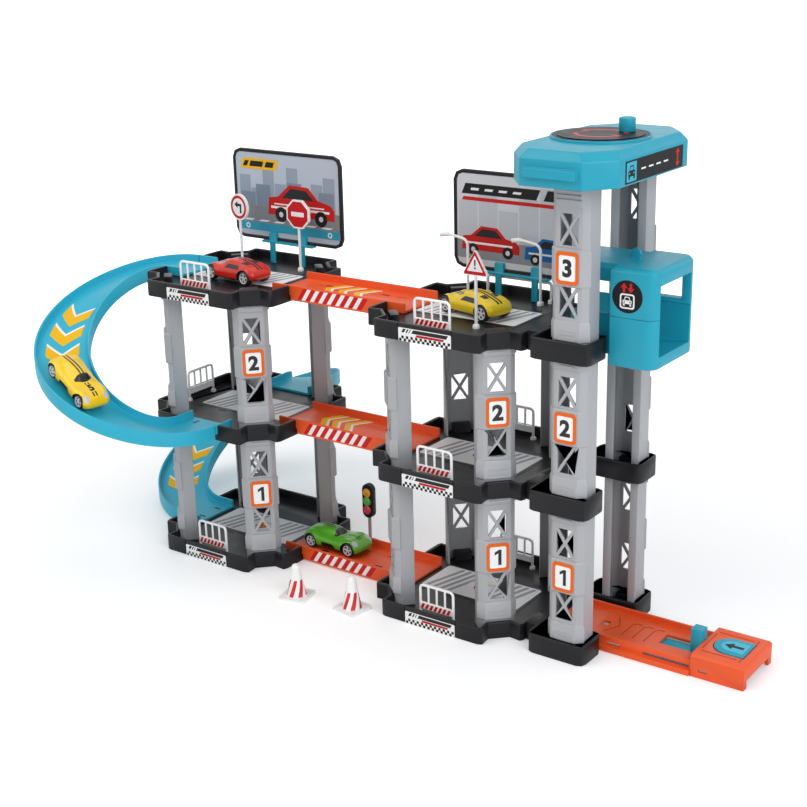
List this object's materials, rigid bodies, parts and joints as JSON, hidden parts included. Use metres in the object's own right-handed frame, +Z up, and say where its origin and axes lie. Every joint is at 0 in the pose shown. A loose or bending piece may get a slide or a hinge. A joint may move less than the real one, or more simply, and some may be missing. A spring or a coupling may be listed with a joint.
{
  "type": "toy parking garage",
  "caption": "Toy parking garage: twin towers of open decks on slotted columns, bridges, spiral ramps, a crank lift with a hanging car, a spring launcher, toy cars and road signs.",
  "frame": {"origin": "on the surface that the toy stands on, under the middle of its overall box", "axes": "+X along the bridges from the ramps towards the lift and launcher, +Y towards the back with the billboards, +Z up"},
  "size_m": [0.6754, 0.33, 0.4205],
  "materials": {
    "black_plastic": "satin black moulded plastic",
    "grey_plastic": "satin light grey moulded plastic",
    "cyan_plastic": "satin blue-green moulded plastic",
    "orange_plastic": "satin orange-red moulded plastic",
    "cord": "white braided cord",
    "red_paint": "glossy red moulded plastic",
    "yellow_paint": "glossy yellow moulded plastic",
    "green_paint": "glossy green moulded plastic",
    "cone_red": "red plastic with white bands",
    "spring_steel": "bright spring steel"
  },
  "bodies": {
    "garage": {"left_deck_ground": "black_plastic", "left_column_ground_front_left": "grey_plastic", "left_column_ground_front_right": "grey_plastic", "left_column_ground_back_right": "grey_plastic", "left_deck_middle": "black_plastic", "left_column_middle_front_left": "grey_plastic", "left_column_middle_front_right": "grey_plastic", "left_column_middle_back_right": "grey_plastic", "left_deck_top": "black_plastic", "right_deck_ground": "black_plastic", "right_column_ground_front_left": "grey_plastic", "right_column_ground_front_right": "grey_plastic", "right_column_ground_back_right": "grey_plastic", "right_deck_middle": "black_plastic", "right_column_middle_front_left": "grey_plastic", "right_column_middle_front_right": "grey_plastic", "right_column_middle_back_right": "grey_plastic", "right_deck_top": "black_plastic", "bridge_ground": "orange_plastic", "bridge_middle": "orange_plastic", "bridge_top": "orange_plastic", "upper_ramp": "cyan_plastic", "lower_ramp": "cyan_plastic", "lift_frame_ground": "black_plastic", "lift_column_ground_front": "grey_plastic", "lift_column_ground_back": "grey_plastic", "lift_frame_middle": "black_plastic", "lift_column_middle_front": "grey_plastic", "lift_column_middle_back": "grey_plastic", "lift_frame_top": "black_plastic", "lift_column_top_front": "grey_plastic", "lift_column_top_back": "grey_plastic", "lift_cap": "cyan_plastic", "lift_cord": "cord", "launcher_track": "orange_plastic", "launcher_cover": "orange_plastic", "launch_spring": "spring_steel", "left_billboard": "black_plastic", "right_billboard": "black_plastic", "cone_1": "cone_red", "cone_2": "cone_red", "traffic_light": "black_plastic"},
    "crank": {"crank_disc": "black_plastic"},
    "knob": {"crank_knob": "cyan_plastic"},
    "lift_car": {"lift_car_lower": "cyan_plastic", "lift_car_upper": "cyan_plastic"},
    "button": {"launch_button": "cyan_plastic"},
    "slider": {"launch_slider": "cyan_plastic"},
    "red_car": {"red_car_body": "red_paint"},
    "red_car_front_wheels": {"red_car_front_axle": "black_plastic"},
    "red_car_rear_wheels": {"red_car_rear_axle": "black_plastic"},
    "yellow_car": {"yellow_car_body": "yellow_paint"},
    "yellow_car_front_wheels": {"yellow_car_front_axle": "black_plastic"},
    "yellow_car_rear_wheels": {"yellow_car_rear_axle": "black_plastic"},
    "green_car": {"green_car_body": "green_paint"},
    "green_car_front_wheels": {"green_car_front_axle": "black_plastic"},
    "green_car_rear_wheels": {"green_car_rear_axle": "black_plastic"},
    "racing_car": {"racing_car_body": "yellow_paint"},
    "racing_car_front_wheels": {"racing_car_front_axle": "black_plastic"},
    "racing_car_rear_wheels": {"racing_car_rear_axle": "black_plastic"}
  },
  "joints": [
    {"name": "lift_travel", "type": "slide", "parent": "garage", "child": "lift_car", "axis": [0, 0, 1], "range_m": [-0.228, 0], "deforming": ["lift_cord"]},
    {"name": "crank_turn", "type": "hinge", "parent": "garage", "child": "crank", "pos_m": [0.19125, 0, 0.404], "axis": [0, 0, 1], "range_deg": [-1090, 0]},
    {"name": "knob_spin", "type": "hinge", "parent": "crank", "child": "knob", "pos_m": [0.20425, 0.017, 0.414], "axis": [0, 0, 1], "continuous": true},
    {"name": "launch_slide", "type": "slide", "parent": "garage", "child": "slider", "axis": [1, 0, 0], "range_m": [-0.025, 0]},
    {"name": "button_press", "type": "hinge", "parent": "garage", "child": "button", "pos_m": [0.33025, 0, 0.0184], "axis": [0, -1, 0], "range_deg": [0, 4.5], "stiffness_Nm_per_rad": 0.3, "springref_deg": -1.15},
    {"name": "red_car_roll", "type": "slide", "parent": "garage", "child": "red_car", "axis": [-0.9958, 0.0915, 0], "range_m": [-0.012, 0.012]},
    {"name": "red_car_front_spin", "type": "hinge", "parent": "red_car", "child": "red_car_front_wheels", "pos_m": [-0.19576, -0.00453, 0.26065], "axis": [-0.0915, -0.9958, 0], "range_deg": [-104, 104]},
    {"name": "red_car_rear_spin", "type": "hinge", "parent": "red_car", "child": "red_car_rear_wheels", "pos_m": [-0.15294, -0.00847, 0.26065], "axis": [-0.0915, -0.9958, 0], "range_deg": [-104, 104]},
    {"name": "yellow_car_roll", "type": "slide", "parent": "garage", "child": "yellow_car", "axis": [-0.971, 0.2392, 0], "range_m": [-0.012, 0.012]},
    {"name": "yellow_car_front_spin", "type": "hinge", "parent": "yellow_car", "child": "yellow_car_front_wheels", "pos_m": [0.05477, 0.00984, 0.26065], "axis": [-0.2392, -0.971, 0], "range_deg": [-104, 104]},
    {"name": "yellow_car_rear_spin", "type": "hinge", "parent": "yellow_car", "child": "yellow_car_rear_wheels", "pos_m": [0.09653, -0.00044, 0.26065], "axis": [-0.2392, -0.971, 0], "range_deg": [-104, 104]},
    {"name": "green_car_roll", "type": "slide", "parent": "garage", "child": "green_car", "axis": [1, 0, 0], "range_m": [-0.012, 0.012]},
    {"name": "green_car_front_spin", "type": "hinge", "parent": "green_car", "child": "green_car_front_wheels", "pos_m": [-0.05475, 0.0015, 0.01495], "axis": [0, 1, 0], "range_deg": [-104, 104]},
    {"name": "green_car_rear_spin", "type": "hinge", "parent": "green_car", "child": "green_car_rear_wheels", "pos_m": [-0.09775, 0.0015, 0.01495], "axis": [0, 1, 0], "range_deg": [-104, 104]},
    {"name": "racing_car_roll", "type": "slide", "parent": "garage", "child": "racing_car", "axis": [0.868, -0.1476, -0.474], "range_m": [-0.004, 0.004]},
    {"name": "racing_car_front_spin", "type": "hinge", "parent": "racing_car", "child": "racing_car_front_wheels", "pos_m": [-0.23267, -0.14272, 0.16832], "axis": [0.1677, 0.9858, 0], "range_deg": [-36, 36]},
    {"name": "racing_car_rear_spin", "type": "hinge", "parent": "racing_car", "child": "racing_car_rear_wheels", "pos_m": [-0.27, -0.13637, 0.1887], "axis": [0.1677, 0.9858, 0], "range_deg": [-36, 36]}
  ],
  "couplings": [
    {"joint": "crank_turn", "follows": "lift_travel", "rad_per_m": 83.333},
    {"joint": "red_car_front_spin", "follows": "red_car_roll", "rad_per_m": 148.15},
    {"joint": "red_car_rear_spin", "follows": "red_car_roll", "rad_per_m": 148.15},
    {"joint": "yellow_car_front_spin", "follows": "yellow_car_roll", "rad_per_m": 148.15},
    {"joint": "yellow_car_rear_spin", "follows": "yellow_car_roll", "rad_per_m": 148.15},
    {"joint": "green_car_front_spin", "follows": "green_car_roll", "rad_per_m": 148.15},
    {"joint": "green_car_rear_spin", "follows": "green_car_roll", "rad_per_m": 148.15},
    {"joint": "racing_car_front_spin", "follows": "racing_car_roll", "rad_per_m": 148.15},
    {"joint": "racing_car_rear_spin", "follows": "racing_car_roll", "rad_per_m": 148.15}
  ]
}
